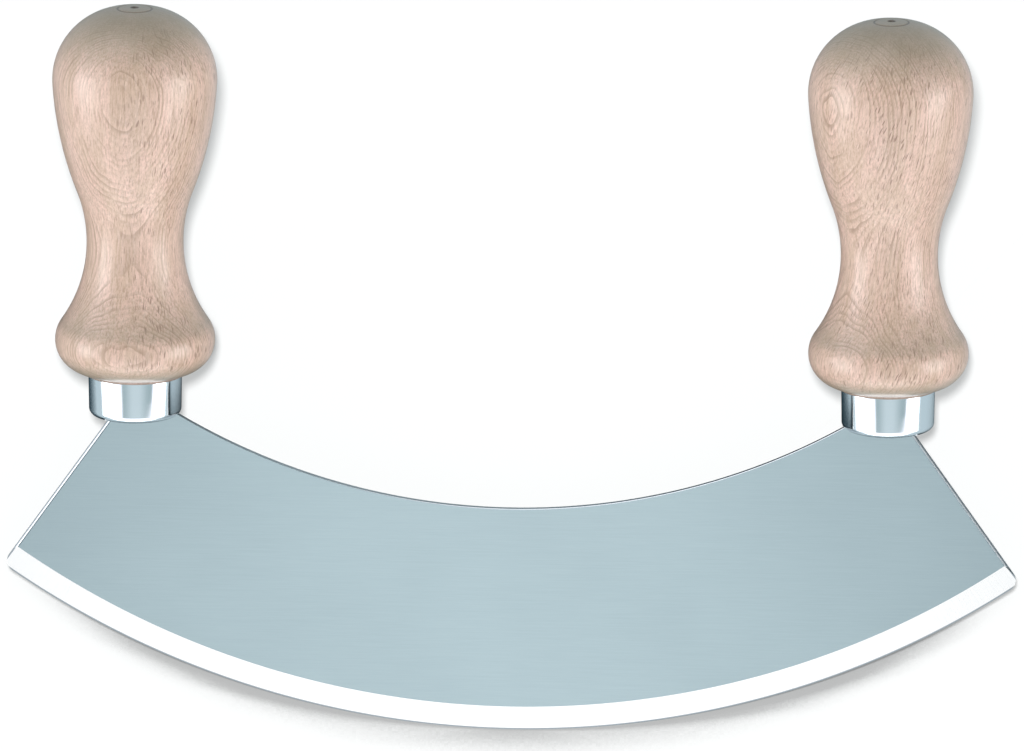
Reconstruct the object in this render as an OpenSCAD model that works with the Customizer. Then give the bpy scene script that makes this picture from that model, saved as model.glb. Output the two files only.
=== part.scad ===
// Single-bladed mezzaluna: a crescent blade ground along its outer arc,
// with two turned wooden grips standing on its ends.
// The pieces are shaped upright, with the blade in the XZ plane, its cutting edge
// down and the grips up. lay_down() then turns them as the knife lies on a table,
// on the two grip flares and the middle of the cutting edge.
// Millimetres. X runs along the blade, Y towards the grips, Z up from the table.

/* [Blade] */
// Radius of the cutting edge's arc
edge_radius = 201.5; // [180:0.5:230]
// Depth of the blade at its middle, from the cutting edge to the hollow back
blade_depth = 52.2; // [44:0.1:58]
// Angle from the blade's middle to each radial end
half_angle = 35.2; // [31:0.1:38]
// Thickness of the sheet
blade_t = 1.5; // [1.2:0.1:2.5]
// Width of the ground bevel, measured in the blade's plane
bevel_w = 5.5; // [3:0.1:9]
// Thickness left at the cutting edge
edge_t = 0.15; // [0.1:0.05:0.4]
// Width of the chamfer along each radial end
end_chamfer_w = 0.5; // [0.2:0.1:1]
// Depth of that chamfer into the sheet
end_chamfer_d = 0.4; // [0.1:0.05:0.5]
// Radius of the rounded tips of the cutting edge
tip_round = 2.6; // [0.6:0.1:4]

/* [Tang] */
// Depth of the shoulder below the corner where the back meets the radial end
shoulder_drop = 6.7; // [6:0.1:9]
// Distance from the grip's axis out to the radial end, at the shoulder
end_margin = 5.1; // [4.5:0.1:6]
// Width of the tang where it enters the ferrule
tang_w = 8; // [6:0.1:8.4]
// Width of the tang at its tip
tang_tip_w = 5; // [3:0.1:6]
// Thickness of the tang, which is ground a little thinner than the sheet
tang_t = 1.3; // [1:0.05:1.4]
// Length of the tang above the shoulder
tang_len = 46; // [35:1:60]
// Straight length of the tang before it tapers
tang_straight = 12; // [8:1:20]
// How far the tang's root runs down inside the blade
tang_root = 4; // [2:0.5:6]

/* [Ferrule] */
// Length of the ferrule
ferrule_len = 9.5; // [7:0.1:14]
// Radius of the ferrule at its foot, before the foot is rounded
ferrule_foot_r = 10.5; // [9.5:0.05:11]
// Radius of the ferrule at its rim, against the wood
ferrule_rim_r = 10.65; // [10.55:0.05:11.1]
// Radius of the ferrule's rounded foot
foot_round = 1.6; // [1:0.1:2.5]
// Thickness of the ferrule's wall
ferrule_wall = 0.8; // [0.5:0.05:0.95]
// Thickness of the ferrule's closed foot
ferrule_floor = 1; // [0.6:0.1:1.6]

/* [Grip] */
// Radius of the wood where it meets the ferrule's rim
collar_r = 11.2; // [10.8:0.05:12]
// Largest radius of the flare
flare_r = 18.2; // [17:0.1:20]
// Height of the flare's widest circle above the ferrule's rim
flare_z = 8.1; // [7.8:0.1:10]
// Radius of the flare's rounded lip, in section
flare_round = 7.4; // [6.8:0.1:7.6]
// Radius of the waist
waist_r = 11; // [10:0.1:12.5]
// Height of the waist above the ferrule's rim
waist_z = 31; // [28:0.5:36]
// Radius of the long flank between the waist and the bulb, in section
flank_round = 83; // [60:1:140]
// Largest radius of the bulb
bulb_r = 18.7; // [17.8:0.1:20]
// Height of the bulb's widest circle above the ferrule's rim
bulb_z = 68.7; // [62:0.1:80]
// Radius of the bulb's shoulder, in section
bulb_round = 16.6; // [14:0.1:17.5]
// Radius of the cap that closes the top
cap_round = 29; // [26:1:80]
// Radius of the bore for the tang
bore_r = 4.5; // [4.3:0.05:6]
// How far the bore runs on beyond the tang's tip
bore_spare = 6; // [4:0.5:10]
// Radius of the conical mark that the lathe leaves on the top
centre_mark_r = 0.95; // [0.5:0.05:1.5]
// Depth of that mark
centre_mark_depth = 0.9; // [0.4:0.1:2]
// Radius of the faint ring round the mark
centre_ring_r = 3.9; // [2.5:0.1:6]
// Depth of that ring
centre_ring_depth = 0.15; // [0.05:0.01:0.3]

/* [Fits] */
// Gap between the tang and its slot in the ferrule
slot_gap = 0.15; // [0.05:0.05:0.3]
// Gap between the wooden spigot and the ferrule's wall
spigot_gap = 0.05; // [0.02:0.01:0.15]
// Gap between the resin and what it holds
resin_gap = 0.05; // [0.02:0.01:0.1]
// Gap between the blade's shoulder and the ferrule's foot
shoulder_gap = 0.05; // [0.02:0.01:0.2]
// Height of resin above the tang's tip
resin_cover = 1.5; // [0.5:0.5:3.5]

/* [Hidden] */

steel = [0.66, 0.72, 0.75];
polished = [0.82, 0.85, 0.87];
beech = [0.85, 0.74, 0.65];
resin_tint = [0.72, 0.62, 0.42];

arc_fn = 360;
turned_fn = 96;
small_fn = 48;
eps = 0.01;
drill_tip_angle = 59;
ring_section_r = 0.3;
tip_lap = 0.02;

// The blade, in polar terms about the centre of its arcs
back_radius = edge_radius - blade_depth;
bevel_radius = edge_radius - bevel_w;
shoulder_z = edge_radius - back_radius * cos(half_angle) - shoulder_drop;
grip_x = (edge_radius - shoulder_z) * tan(half_angle) - end_margin;

// The ferrule's taper, from vertical
taper = atan((ferrule_rim_r - ferrule_foot_r) / ferrule_len);

// The grip's section is a chain of arcs that touch. Each is [radius out, height, own radius],
// with heights above the ferrule's foot.
flare_c = [flare_r - flare_round, ferrule_len + flare_z, flare_round];
waist_h = ferrule_len + waist_z;
waist_round = (pow(flare_r - waist_r, 2) + pow(waist_h - flare_c.y, 2)) / (2 * (flare_r - waist_r))
              - flare_round;
waist_c = [waist_r + waist_round, waist_h, waist_round];
bulb_c = [bulb_r - bulb_round, ferrule_len + bulb_z, bulb_round];
flank_c = circle_touching(bulb_c, flank_round - bulb_round, waist_c, flank_round + waist_round,
                          flank_round);
cap_c = [0, bulb_c.y - sqrt(pow(cap_round - bulb_round, 2) - pow(bulb_c.x, 2)), cap_round];
grip_top = cap_c.y + cap_round;
// Radius of the circle where the bulb's shoulder meets the cap
cap_edge_r = bulb_c.x * cap_round / (cap_round - bulb_round);

// Heights where one arc hands over to the next, kept to whole micrometres so that the two
// stretches share one plane
flare_end = whole_um((flare_c.y * waist_round + waist_c.y * flare_round)
                     / (flare_round + waist_round));
waist_end = whole_um((waist_c.y * flank_round + flank_c.y * waist_round)
                     / (waist_round + flank_round));
flank_end = whole_um(bulb_c.y + (bulb_c.y - flank_c.y) * bulb_round
                     / (flank_round - bulb_round));
bulb_end = whole_um(bulb_c.y + (bulb_c.y - cap_c.y) * bulb_round / (cap_round - bulb_round));

spigot_z = ferrule_floor;
bore_top = tang_len + bore_spare;

// The knife lies with its blade at this angle to the table: the line from the edge's middle
// to the flare's lip, plus the angle by which the rounded lip keeps that line up
flare_h = shoulder_z + flare_c.y;
lip_reach = flare_c.x - edge_t / 2;
lie_angle = atan(lip_reach / flare_h) + asin(flare_round / norm([flare_h, lip_reach]));
lie_lift = edge_t / 2 * cos(lie_angle);

function whole_um(mm) = round(mm * 1000) / 1000;

// Centre of a circle of radius r that lies da from circle a and db from circle b. Of the two
// such circles, this is the one on the side of the grip's axis.
function circle_touching(a, da, b, db, r) =
    let (step = [b.x - a.x, b.y - a.y],
         gap = norm(step),
         along = (da * da - db * db + gap * gap) / (2 * gap),
         aside = sqrt(da * da - along * along),
         foot = [a.x, a.y] + step * along / gap,
         square_on = [-step.y, step.x] * aside / gap,
         one = foot + square_on,
         other = foot - square_on)
    one.x < other.x ? [one.x, one.y, r] : [other.x, other.y, r];

module lay_down() {
    translate([0, 0, lie_lift]) rotate([lie_angle - 90, 0, 0]) children();
}

// Places a grip's pieces on one end of the blade: side is -1 for left and 1 for right
module at_grip(side) {
    translate([side * grip_x, 0, shoulder_z]) children();
}

// Turns what is drawn about the arcs' centre, middle towards -Y, into the upright blade
module in_blade_plane() {
    translate([0, 0, edge_radius]) rotate([90, 0, 0]) children();
}

// Section of the blade from the hollow back to the cutting edge, with both bevels
module blade_section() {
    polygon([
        [back_radius, -blade_t / 2],
        [bevel_radius, -blade_t / 2],
        [edge_radius, -edge_t / 2],
        [edge_radius, edge_t / 2],
        [bevel_radius, blade_t / 2],
        [back_radius, blade_t / 2]
    ]);
}

// What the tip's rounding takes off: the corner outside a circle that reaches tip_lap past
// the cutting edge and the right end, so that it crosses both cleanly
module tip_waste() {
    reach = edge_radius + tip_lap - tip_round;
    turn = asin((tip_round - tip_lap) / reach);
    centre = reach * [cos(turn), -sin(turn)];
    on_edge = (reach + tip_round) * [cos(turn), -sin(turn)];
    beyond = edge_radius + tip_round;
    rotate(half_angle - 90) linear_extrude(2 * blade_t, center = true) difference() {
        polygon([
            centre,
            [centre.x, tip_round],
            [beyond, tip_round],
            [beyond, on_edge.y],
            on_edge
        ]);
        translate(centre) circle(tip_round, $fn = small_fn);
    }
}

// The chamfers' waste along the right end, on both faces
module end_waste() {
    length = blade_depth + 2;
    rotate(half_angle - 90) translate([back_radius - 1, 0, 0]) rotate([90, 0, 90])
        for (face = [-1, 1])
            linear_extrude(length)
                polygon([
                    [-end_chamfer_w, face * blade_t / 2],
                    [-end_chamfer_w, face * blade_t],
                    [end_chamfer_w, face * blade_t],
                    [end_chamfer_w, face * (blade_t / 2 - 2 * end_chamfer_d)]
                ]);
}

// The tang, in the upright grip's own frame, grown by gap on every side
module tang(gap) {
    half_w = tang_w / 2 + gap;
    half_tip = tang_tip_w / 2 + gap;
    translate([0, tang_t / 2 + gap, 0]) rotate([90, 0, 0]) linear_extrude(tang_t + 2 * gap)
        polygon([
            [-half_w, -tang_root],
            [half_w, -tang_root],
            [half_w, tang_straight],
            [half_tip, tang_len + gap],
            [-half_tip, tang_len + gap],
            [-half_w, tang_straight]
        ]);
}

// Half section of a cup with a rounded foot, from its foot at z0 to its rim at z1,
// whose side passes foot_r at height 0 and leans out by the taper
module cup_section(foot_r, round_r, z0, z1) {
    cx = foot_r + (z0 + round_r) * tan(taper) - round_r / cos(taper);
    cz = z0 + round_r;
    polygon([
        [0, z0],
        [cx, z0],
        [cx, cz],
        [cx + round_r * cos(taper), cz - round_r * sin(taper)],
        [foot_r + z1 * tan(taper), z1],
        [0, z1]
    ]);
    translate([cx, cz]) circle(round_r, $fn = small_fn);
}

module cup(foot_r, round_r, z0, z1) {
    rotate_extrude($fn = turned_fn) cup_section(foot_r, round_r, z0, z1);
}

module ferrule() {
    color(polished) difference() {
        cup(ferrule_foot_r, foot_round, 0, ferrule_len);
        cup(ferrule_foot_r - ferrule_wall, foot_round - ferrule_wall, ferrule_floor,
            ferrule_len + eps);
        tang(slot_gap);
    }
}

// A turned stretch of the grip whose surface bulges out, between two heights
module full_stretch(c, low, high) {
    rotate_extrude($fn = turned_fn) intersection() {
        translate([0, low]) square([c.x + c.z + 1, high - low]);
        union() {
            translate([c.x, c.y]) circle(c.z, $fn = arc_fn);
            if (c.x > 0) translate([0, low]) square([c.x, high - low]);
        }
    }
}

// A turned stretch of the grip whose surface is drawn in, between two heights
module hollow_stretch(c, low, high) {
    rotate_extrude($fn = turned_fn) difference() {
        translate([0, low]) square([c.x, high - low]);
        translate([c.x, c.y]) circle(c.z, $fn = arc_fn);
    }
}

module grip_bore() {
    cylinder(r = bore_r, h = bore_top, $fn = small_fn);
    translate([0, 0, bore_top])
        cylinder(r1 = bore_r, r2 = 0, h = bore_r / tan(drill_tip_angle), $fn = small_fn);
}

// The conical mark and the ring that the lathe's centre leaves on the grip's top
module centre_marks() {
    translate([0, 0, grip_top - centre_mark_depth])
        cylinder(r1 = 0, r2 = centre_mark_r * 1.1, h = centre_mark_depth * 1.1, $fn = small_fn);
    under_ring = centre_ring_r < cap_edge_r ? cap_c : bulb_c;
    ring_z = under_ring.y + sqrt(pow(under_ring.z - centre_ring_depth + ring_section_r, 2)
                                 - pow(centre_ring_r - under_ring.x, 2));
    rotate_extrude($fn = turned_fn) translate([centre_ring_r, ring_z])
        circle(ring_section_r, $fn = small_fn);
}

module handle() {
    color(beech) difference() {
        union() {
            cup(ferrule_foot_r - ferrule_wall - spigot_gap, foot_round - ferrule_wall, spigot_z,
                ferrule_len);
            translate([0, 0, ferrule_len])
                cylinder(r = collar_r, h = flare_c.y - ferrule_len, $fn = turned_fn);
            full_stretch(flare_c, flare_c.y - flare_round, flare_end);
            hollow_stretch(waist_c, flare_end, waist_end);
            full_stretch(flank_c, waist_end, flank_end);
            full_stretch(bulb_c, flank_end, bulb_end);
            full_stretch(cap_c, bulb_end, grip_top);
        }
        grip_bore();
        centre_marks();
    }
}

module resin() {
    color(resin_tint) difference() {
        translate([0, 0, spigot_z])
            cylinder(r = bore_r - resin_gap, h = tang_len + resin_cover - spigot_z,
                     $fn = small_fn);
        tang(resin_gap);
    }
}

module blade() {
    color(steel) lay_down() {
        difference() {
            in_blade_plane() difference() {
                rotate_extrude(angle = 2 * half_angle, start = 270 - half_angle, $fn = arc_fn)
                    blade_section();
                for (side = [0, 1]) mirror([side, 0, 0]) {
                    tip_waste();
                    end_waste();
                }
            }
            for (side = [-1, 1]) at_grip(side)
                translate([0, 0, -shoulder_gap])
                    cup(ferrule_foot_r + shoulder_gap, foot_round, 0, ferrule_len * 2);
        }
        for (side = [-1, 1]) at_grip(side) tang(0);
    }
}

module ferrule_left() lay_down() at_grip(-1) ferrule();
module ferrule_right() lay_down() at_grip(1) ferrule();
module handle_left() lay_down() at_grip(-1) handle();
module handle_right() lay_down() at_grip(1) handle();
module resin_left() lay_down() at_grip(-1) resin();
module resin_right() lay_down() at_grip(1) resin();

blade();
ferrule_left();
ferrule_right();
handle_left();
handle_right();
resin_left();
resin_right();
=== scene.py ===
import math

import bmesh
import bpy
from mathutils import Matrix, Vector
from mathutils.geometry import delaunay_2d_cdt


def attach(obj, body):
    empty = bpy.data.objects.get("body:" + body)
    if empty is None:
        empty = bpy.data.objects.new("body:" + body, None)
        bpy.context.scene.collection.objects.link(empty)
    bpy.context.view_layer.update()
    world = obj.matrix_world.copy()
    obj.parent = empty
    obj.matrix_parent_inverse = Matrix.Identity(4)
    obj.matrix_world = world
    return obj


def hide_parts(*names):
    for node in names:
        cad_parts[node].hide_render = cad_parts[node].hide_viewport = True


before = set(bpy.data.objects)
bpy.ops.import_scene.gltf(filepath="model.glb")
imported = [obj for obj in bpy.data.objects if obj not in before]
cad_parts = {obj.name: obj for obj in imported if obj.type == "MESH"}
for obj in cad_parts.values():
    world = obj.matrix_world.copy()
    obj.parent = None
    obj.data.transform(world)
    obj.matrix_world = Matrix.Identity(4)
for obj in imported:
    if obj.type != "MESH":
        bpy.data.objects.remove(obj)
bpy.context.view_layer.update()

# The mezzaluna's own sizes, in millimetres, as in the part's source. The knife is shaped upright,
# with the blade in the XZ plane, its edge down and the camera's side towards -Y, and then laid down.
MM = 0.001
EDGE_R = 201.5
BLADE_DEPTH = 52.2
BACK_R = EDGE_R - BLADE_DEPTH
HALF_ANGLE = math.radians(35.2)
SHEET = 1.5
BEVEL_W = 5.5
BEVEL_R = EDGE_R - BEVEL_W
EDGE_T = 0.15
END_CHAMFER_W = 0.5
END_CHAMFER_D = 0.4
TIP_ROUND = 2.6
BACK_SOFT = 0.12

SHOULDER_DROP = 6.7
END_MARGIN = 5.1
TANG_W = 8.0
TANG_TIP_W = 5.0
TANG_T = 1.3
TANG_LEN = 46.0
TANG_STRAIGHT = 12.0
SHOULDER_GAP = 0.05
SLOT_GAP = 0.15
TANG_STEP_H = 0.2
SHOULDER_Z = EDGE_R - BACK_R * math.cos(HALF_ANGLE) - SHOULDER_DROP
SHOULDER_TOP = SHOULDER_Z - SHOULDER_GAP
GRIP_X = (EDGE_R - SHOULDER_Z) * math.tan(HALF_ANGLE) - END_MARGIN

FERRULE_LEN = 9.5
FERRULE_FOOT_R = 10.5
FERRULE_RIM_R = 10.65
FOOT_ROUND = 1.6
FERRULE_WALL = 0.8
FERRULE_FLOOR = 1.0
SPIGOT_GAP = 0.05
SLOT_CUTTER_H = 12.0
FERRULE_SEGMENTS = 144
FERRULE_SHARP_DEG = 32
TAPER = math.atan((FERRULE_RIM_R - FERRULE_FOOT_R) / FERRULE_LEN)

# The grip's driving sizes: radii, heights above the ferrule's rim, and the radii of its arcs
COLLAR_R = 11.2
FLARE_R = 18.2
WAIST_R = 11.0
BULB_R = 18.7
FLARE_RISE = 8.1
WAIST_RISE = 31.0
BULB_RISE = 68.7
FLARE_ROUND = 7.4
BULB_ROUND = 16.6
FLANK_ROUND = 83.0
CAP_ROUND = 29.0

# The grip's arcs: (radius out to the centre, height of the centre above the ferrule's foot, radius)
FLARE = (FLARE_R - FLARE_ROUND, FERRULE_LEN + FLARE_RISE, FLARE_ROUND)
WAIST_H = FERRULE_LEN + WAIST_RISE
WAIST_IN = FLARE_R - WAIST_R
WAIST_ROUND = (WAIST_IN ** 2 + (WAIST_H - FLARE[1]) ** 2) / (2 * WAIST_IN) - FLARE_ROUND
WAIST = (WAIST_R + WAIST_ROUND, WAIST_H, WAIST_ROUND)
BULB = (BULB_R - BULB_ROUND, FERRULE_LEN + BULB_RISE, BULB_ROUND)
CAP = (0.0, BULB[1] - math.sqrt((CAP_ROUND - BULB[2]) ** 2 - BULB[0] ** 2), CAP_ROUND)
GRIP_TOP = CAP[1] + CAP_ROUND

BORE_R = 4.5
BORE_PAST_TANG = 6.0
DRILL_HALF_ANGLE = math.radians(59.0)
BORE_TOP = TANG_LEN + BORE_PAST_TANG
BORE_TIP = BORE_TOP + BORE_R / math.tan(DRILL_HALF_ANGLE)
MARK_R = 0.95
MARK_DEPTH = 0.9
RING_R = 3.9
RING_DEPTH = 0.15
RING_HALF_W = 0.30
CAP_STEPS = 60
GRIP_SEGMENTS = 168

# How finely the blade is divided, and what counts as touching, in millimetres
EDGE_STEPS = 140
TIP_STEPS = 10
END_STEPS = 24
CORNER_STEPS = 39
BACK_STEPS = 110
INNER_ROWS = (8.0, 18.0, 28.0, 38.0)
INNER_STEPS = 70
TOUCH = 1e-3

# How the knife lies: on its grips' flares and the middle of its edge
FLARE_H = SHOULDER_Z + FLARE[1]
LIP_REACH = FLARE[0] - EDGE_T / 2
LIE_ANGLE = math.atan(LIP_REACH / FLARE_H) + math.asin(FLARE[2] / math.hypot(FLARE_H, LIP_REACH))
LIE_LIFT = EDGE_T / 2 * math.cos(LIE_ANGLE)
LAID_DOWN = (
    Matrix.Translation((0.0, 0.0, LIE_LIFT * MM))
    @ Matrix.Rotation(LIE_ANGLE - math.pi / 2, 4, "X")
)


def flank_arc():
    """The long arc that touches the bulb from outside it and the waist, on the axis's side."""
    a, b = Vector(BULB[:2]), Vector(WAIST[:2])
    da, db = FLANK_ROUND - BULB[2], FLANK_ROUND + WAIST[2]
    step = b - a
    gap = step.length
    along = (da * da - db * db + gap * gap) / (2 * gap)
    aside = math.sqrt(da * da - along * along)
    square_on = Vector((-step.y, step.x)) * (aside / gap)
    foot = a + step * (along / gap)
    centre = min(foot + square_on, foot - square_on, key=lambda c: c.x)
    return (centre.x, centre.y, FLANK_ROUND)


FLANK = flank_arc()


def heading(a, b):
    """Angle of the line from arc a's centre to arc b's centre."""
    return math.atan2(b[1] - a[1], b[0] - a[0])


def along_arc(arc, start, end, step):
    """Points on an arc from angle start to angle end, about step millimetres apart."""
    count = max(2, math.ceil(abs(end - start) * arc[2] / step))
    angles = [start + (end - start) * i / count for i in range(count + 1)]
    return [(arc[0] + arc[2] * math.cos(t), arc[1] + arc[2] * math.sin(t)) for t in angles]


def tidy_chain(points, least=0.004):
    """The chain without points that repeat the one before."""
    kept = [points[0]]
    for p in points[1:]:
        if math.dist(p, kept[-1]) > least:
            kept.append(p)
    return kept


def new_piece(name, bm, placed, sharp_deg):
    """Makes a smooth-shaded object of the bmesh, with edges sharper than sharp_deg left crisp."""
    bmesh.ops.recalc_face_normals(bm, faces=bm.faces)
    mesh = bpy.data.meshes.new(name)
    bm.to_mesh(mesh)
    bm.free()
    mesh.transform(placed)
    mesh.shade_smooth()
    mesh.set_sharp_from_angle(angle=math.radians(sharp_deg))
    piece = bpy.data.objects.new(name, mesh)
    bpy.context.scene.collection.objects.link(piece)
    return piece


def turned(chain, segments):
    """Turns a chain of (radius, height) that starts and ends on the axis into a closed mesh."""
    bm = bmesh.new()
    rings = []
    for radius, height in chain[1:-1]:
        ring = []
        for i in range(segments):
            t = 2 * math.pi * i / segments
            ring.append(bm.verts.new((radius * math.cos(t) * MM, radius * math.sin(t) * MM, height * MM)))
        rings.append(ring)
    first = bm.verts.new((0, 0, chain[0][1] * MM))
    last = bm.verts.new((0, 0, chain[-1][1] * MM))
    for i in range(segments):
        j = (i + 1) % segments
        bm.faces.new((first, rings[0][j], rings[0][i]))
        bm.faces.new((last, rings[-1][i], rings[-1][j]))
        for a, b in zip(rings, rings[1:]):
            bm.faces.new((a[i], a[j], b[j], b[i]))
    return bm


def at_grip(side):
    """Where a grip's pieces stand: side is -1 for left and 1 for right."""
    return LAID_DOWN @ Matrix.Translation((side * GRIP_X * MM, 0.0, SHOULDER_Z * MM))


def cup_chain(foot_r, round_r, z0, z1):
    """Half section of a cup: its foot's centre, the rounded foot and the leaning side up to z1."""
    cx = foot_r + (z0 + round_r) * math.tan(TAPER) - round_r / math.cos(TAPER)
    arc = (cx, z0 + round_r, round_r)
    side = along_arc(arc, -math.pi / 2, -TAPER, step=0.12)
    return [(0.0, z0), (cx * 0.5, z0), *side, (foot_r + z1 * math.tan(TAPER), z1)]


def ferrule_chain():
    """Half section of a ferrule: its outside, the softened rim and its inside, back to the axis."""
    outer = cup_chain(FERRULE_FOOT_R, FOOT_ROUND, 0.0, FERRULE_LEN)
    inner_foot_r, inner_round = FERRULE_FOOT_R - FERRULE_WALL, FOOT_ROUND - FERRULE_WALL
    inner = cup_chain(inner_foot_r, inner_round, FERRULE_FLOOR, FERRULE_LEN)
    rim_out, rim_in = outer.pop(), inner.pop()
    lip = 0.14
    outer_arc = (rim_out[0] - lip, FERRULE_LEN - lip, lip)
    inner_arc = (rim_in[0] + lip, FERRULE_LEN - lip, lip)
    outer_lip = along_arc(outer_arc, 0.0, math.pi / 2, step=0.05)
    inner_lip = along_arc(inner_arc, math.pi / 2, math.pi, step=0.05)
    middle = (FERRULE_FOOT_R + FERRULE_LEN / 2 * math.tan(TAPER), FERRULE_LEN / 2)
    return tidy_chain([*outer, middle, *outer_lip, *inner_lip, *reversed(inner)])


def slot_cutter(name):
    """A tang-shaped bar, a little larger than the tang, that cuts the ferrule's slot."""
    bm = bmesh.new()
    half_w, half_t = TANG_W / 2 + SLOT_GAP, TANG_T / 2 + SLOT_GAP
    bmesh.ops.create_cube(bm, size=1.0)
    bm.transform(Matrix.Diagonal((2 * half_w * MM, 2 * half_t * MM, SLOT_CUTTER_H * MM, 1.0)))
    return new_piece(name, bm, Matrix.Identity(4), sharp_deg=30)


def cut_slot(ferrule, cutter):
    """Cuts the tang's slot through the ferrule's foot and keeps the result as its mesh."""
    cut = ferrule.modifiers.new("slot", "BOOLEAN")
    cut.operation = "DIFFERENCE"
    cut.solver = "EXACT"
    cut.object = cutter
    bpy.context.view_layer.update()
    graph = bpy.context.evaluated_depsgraph_get()
    mesh = bpy.data.meshes.new_from_object(ferrule.evaluated_get(graph))
    ferrule.modifiers.remove(cut)
    ferrule.data = mesh
    mesh.shade_smooth()
    mesh.set_sharp_from_angle(angle=math.radians(FERRULE_SHARP_DEG))


def ferrule_piece(name, side):
    """A drawn cup with a rounded foot, a softened rim and the tang's slot."""
    cup = turned(ferrule_chain(), FERRULE_SEGMENTS)
    ferrule = new_piece(name, cup, Matrix.Identity(4), FERRULE_SHARP_DEG)
    cutter = slot_cutter(name + "_cutter")
    cut_slot(ferrule, cutter)
    bpy.data.objects.remove(cutter)
    ferrule.data.transform(at_grip(side))
    return ferrule


def grip_chain():
    """Section of a turned grip, from the bore's tip, down and round the outside, up to its top."""
    spigot_r = FERRULE_FOOT_R - FERRULE_WALL - SPIGOT_GAP
    spigot = cup_chain(spigot_r, FOOT_ROUND - FERRULE_WALL, FERRULE_FLOOR, FERRULE_LEN)
    bore = [(0.0, BORE_TIP), (BORE_R, BORE_TOP), (BORE_R, FERRULE_FLOOR + 12), (BORE_R, FERRULE_FLOOR)]
    lip = 0.18
    collar_arc = (COLLAR_R - lip, FERRULE_LEN + lip, lip)
    collar = [(COLLAR_R - 0.5, FERRULE_LEN), *along_arc(collar_arc, -math.pi / 2, 0.0, step=0.08)]
    flare_start = -math.acos((COLLAR_R + 0.12 - FLARE[0]) / FLARE[2])
    to_waist, to_flank = heading(FLARE, WAIST), heading(WAIST, FLANK)
    to_bulb, to_cap = heading(FLANK, BULB), heading(CAP, BULB)
    body = [
        *along_arc(FLARE, flare_start, to_waist, step=0.45),
        *along_arc(WAIST, to_waist + math.pi, to_flank, step=0.9),
        *along_arc(FLANK, to_flank - math.pi, to_bulb, step=0.9),
        *along_arc(BULB, to_bulb, to_cap, step=0.6),
    ]
    to_mark = math.acos((MARK_R + 0.08) / CAP_ROUND)
    for i in range(CAP_STEPS + 1):
        angle = to_cap + (to_mark - to_cap) * i / CAP_STEPS
        radius = CAP_ROUND * math.cos(angle)
        away = (radius - RING_R) / RING_HALF_W
        reach = CAP_ROUND - RING_DEPTH * math.exp(-1.6 * away * away)
        body.append((reach * math.cos(angle), CAP[1] + reach * math.sin(angle)))
    mark = [
        (MARK_R, GRIP_TOP - 0.035),
        (MARK_R - 0.09, GRIP_TOP - 0.11),
        (0.25, GRIP_TOP - MARK_DEPTH * 0.8),
        (0.0, GRIP_TOP - MARK_DEPTH),
    ]
    return tidy_chain([*bore, *spigot[1:], *collar, *body, *mark])


def grip_piece(name, side):
    """A turned grip with its collar, its bore and the burnished ring and mark in its top."""
    return new_piece(name, turned(grip_chain(), GRIP_SEGMENTS), at_grip(side), sharp_deg=38)


def polar(radius, angle):
    """A point of the upright blade, in millimetres, from its radius and angle about the arcs' centre."""
    return (radius * math.sin(angle), EDGE_R - radius * math.cos(angle))


def from_end(x, z):
    """How far a point is inside the nearer radial end."""
    return (EDGE_R - z) * math.sin(HALF_ANGLE) - abs(x) * math.cos(HALF_ANGLE)


def half_thickness(x, z):
    """The blade's half thickness: sheet, ground bevel, end chamfers, softened back and thinner tang."""
    radius = math.hypot(x, EDGE_R - z)
    bevel = EDGE_T / 2 + (EDGE_R - radius) * (SHEET - EDGE_T) / 2 / BEVEL_W
    chamfer = SHEET / 2 - END_CHAMFER_D + from_end(x, z) * END_CHAMFER_D / END_CHAMFER_W
    soft = SHEET / 2 - BACK_SOFT + (radius - BACK_R)
    thinning = (SHEET - TANG_T) / 2 * (1 - (z - SHOULDER_TOP) / TANG_STEP_H)
    tang = TANG_T / 2 + max(0.0, thinning)
    in_tang = z > SHOULDER_TOP - 1e-6 and abs(abs(x) - GRIP_X) < TANG_W / 2 + 1e-6
    if in_tang:
        return min(SHEET / 2, tang)
    return max(EDGE_T / 2, min(SHEET / 2, bevel, chamfer, soft))


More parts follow.
